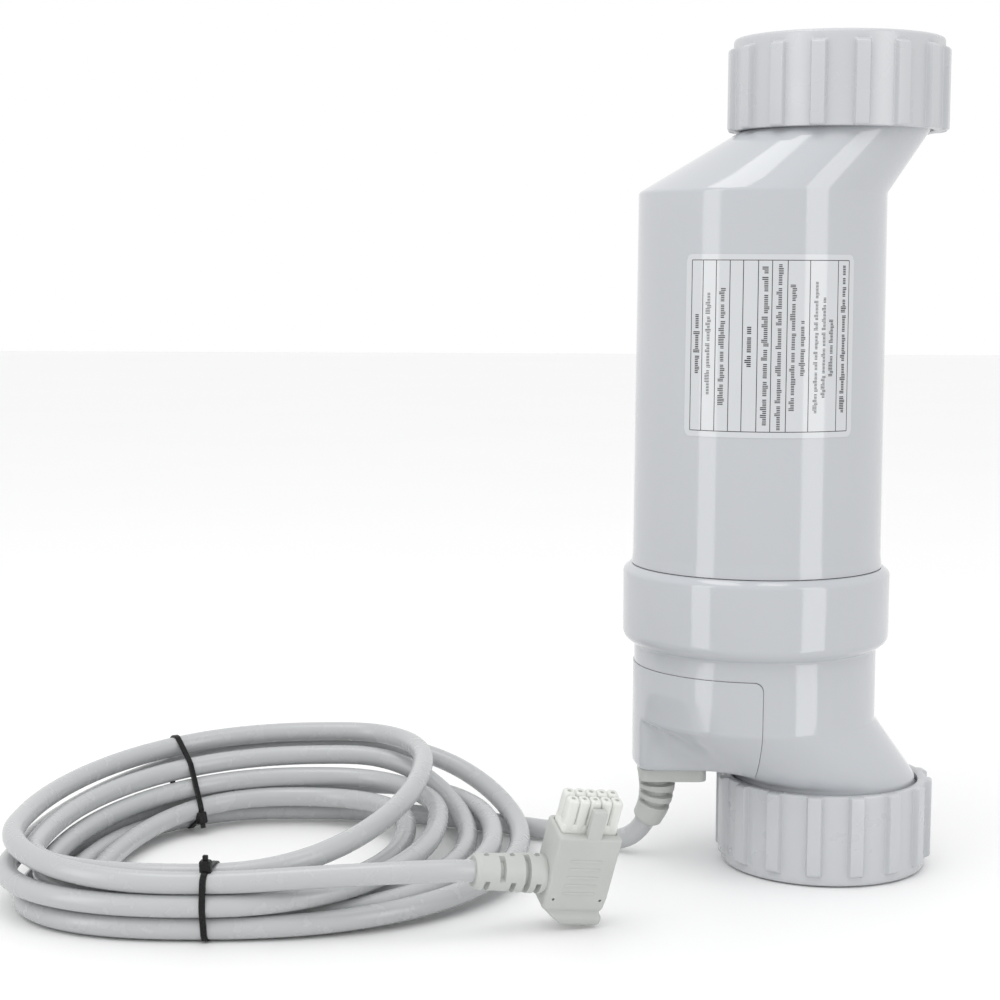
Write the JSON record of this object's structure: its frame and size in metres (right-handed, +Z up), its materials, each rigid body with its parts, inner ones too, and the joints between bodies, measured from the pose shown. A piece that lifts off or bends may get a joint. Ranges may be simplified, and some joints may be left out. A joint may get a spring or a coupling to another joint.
{
  "type": "salt chlorine generator cell",
  "caption": "Flow-through electrolytic cell for pool water, with offset union ports, internal electrode plates, terminal cover, label, and a coiled cable with a multi-way plug.",
  "frame": {"origin": "centre of the bottom of the cell's bounding box, on the surface that the lower nut stands on, measured without the cable and plug", "axes": "+Z up along the cell, from the lower port to the upper port; -Y is the side with the label; +X is the side that the ports are offset to, and the cable lies on the -X side"},
  "size_m": [0.4319, 0.2346, 0.385],
  "materials": {
    "shell_plastic": "glossy light grey moulded plastic",
    "cable_rubber": "semi-gloss light grey cable jacket",
    "boot_rubber": "matt off-white moulded boot and hood",
    "nylon": "milky nylon",
    "black_nylon": "glossy black nylon",
    "comb_plastic": "white moulded plastic",
    "coated_titanium": "dull dark oxide coating on titanium sheet",
    "bare_titanium": "bare titanium",
    "tinned_brass": "tinned brass",
    "seal_rubber": "black seal rubber",
    "label_film": "clear printed film",
    "wire_insulation": "coloured core insulation"
  },
  "bodies": {
    "housing": {"cable_coil": "cable_rubber", "cable_lead_in": "cable_rubber", "cable_lead_out": "cable_rubber", "cable_tie_back": "black_nylon", "cable_tie_front": "black_nylon", "cell_body": "shell_plastic", "cell_strain_relief": "boot_rubber", "electrode_plate_01": "coated_titanium", "electrode_plate_02": "coated_titanium", "electrode_plate_03": "coated_titanium", "electrode_plate_04": "coated_titanium", "electrode_plate_05": "coated_titanium", "electrode_plate_06": "coated_titanium", "electrode_plate_07": "coated_titanium", "electrode_plate_08": "coated_titanium", "electrode_plate_09": "coated_titanium", "electrode_plate_10": "coated_titanium", "electrode_plate_11": "coated_titanium", "electrode_plate_12": "coated_titanium", "electrode_plate_13": "coated_titanium", "lead_wire_1": "wire_insulation", "lead_wire_2": "wire_insulation", "lead_wire_3": "wire_insulation", "lower_housing": "shell_plastic", "lower_plate_comb": "comb_plastic", "lower_union_oring": "seal_rubber", "plug_boot": "boot_rubber", "plug_contact_1": "tinned_brass", "plug_contact_2": "tinned_brass", "plug_contact_3": "tinned_brass", "plug_contact_4": "tinned_brass", "plug_contact_5": "tinned_brass", "plug_hood": "boot_rubber", "plug_insert": "nylon", "probe_wire": "wire_insulation", "rating_label": "label_film", "ring_terminal_1": "tinned_brass", "ring_terminal_2": "tinned_brass", "ring_terminal_3": "tinned_brass", "temperature_probe": "bare_titanium", "terminal_cover": "shell_plastic", "terminal_nut_1": "bare_titanium", "terminal_nut_2": "bare_titanium", "terminal_nut_3": "bare_titanium", "terminal_oring_1": "seal_rubber", "terminal_oring_2": "seal_rubber", "terminal_oring_3": "seal_rubber", "terminal_rod_1": "bare_titanium", "terminal_rod_2": "bare_titanium", "terminal_rod_3": "bare_titanium", "upper_plate_comb": "comb_plastic", "upper_union_oring": "seal_rubber"},
    "upper_coupler": {"upper_tailpiece": "shell_plastic"},
    "upper_nut": {"upper_union_nut": "shell_plastic"},
    "lower_coupler": {"lower_tailpiece": "shell_plastic"},
    "lower_nut": {"lower_union_nut": "shell_plastic"}
  },
  "joints": [
    {"name": "upper_union_slide", "type": "slide", "parent": "housing", "child": "upper_coupler", "axis": [0, 0, 1], "range_m": [0, 0.0181]},
    {"name": "upper_nut_turn", "type": "hinge", "parent": "upper_coupler", "child": "upper_nut", "pos_m": [0.02225, 0, 0.364], "axis": [0, 0, 1], "range_deg": [0, 1080]},
    {"name": "lower_union_slide", "type": "slide", "parent": "housing", "child": "lower_coupler", "axis": [0, 0, -1], "range_m": [0, 0.0181]},
    {"name": "lower_nut_turn", "type": "hinge", "parent": "lower_coupler", "child": "lower_nut", "pos_m": [0.02225, 0, 0.021], "axis": [0, 0, -1], "range_deg": [0, 1080]}
  ],
  "couplings": [
    {"joint": "upper_union_slide", "follows": "upper_nut_turn", "m_per_rad": 0.00095493},
    {"joint": "lower_union_slide", "follows": "lower_nut_turn", "m_per_rad": 0.00095493}
  ]
}
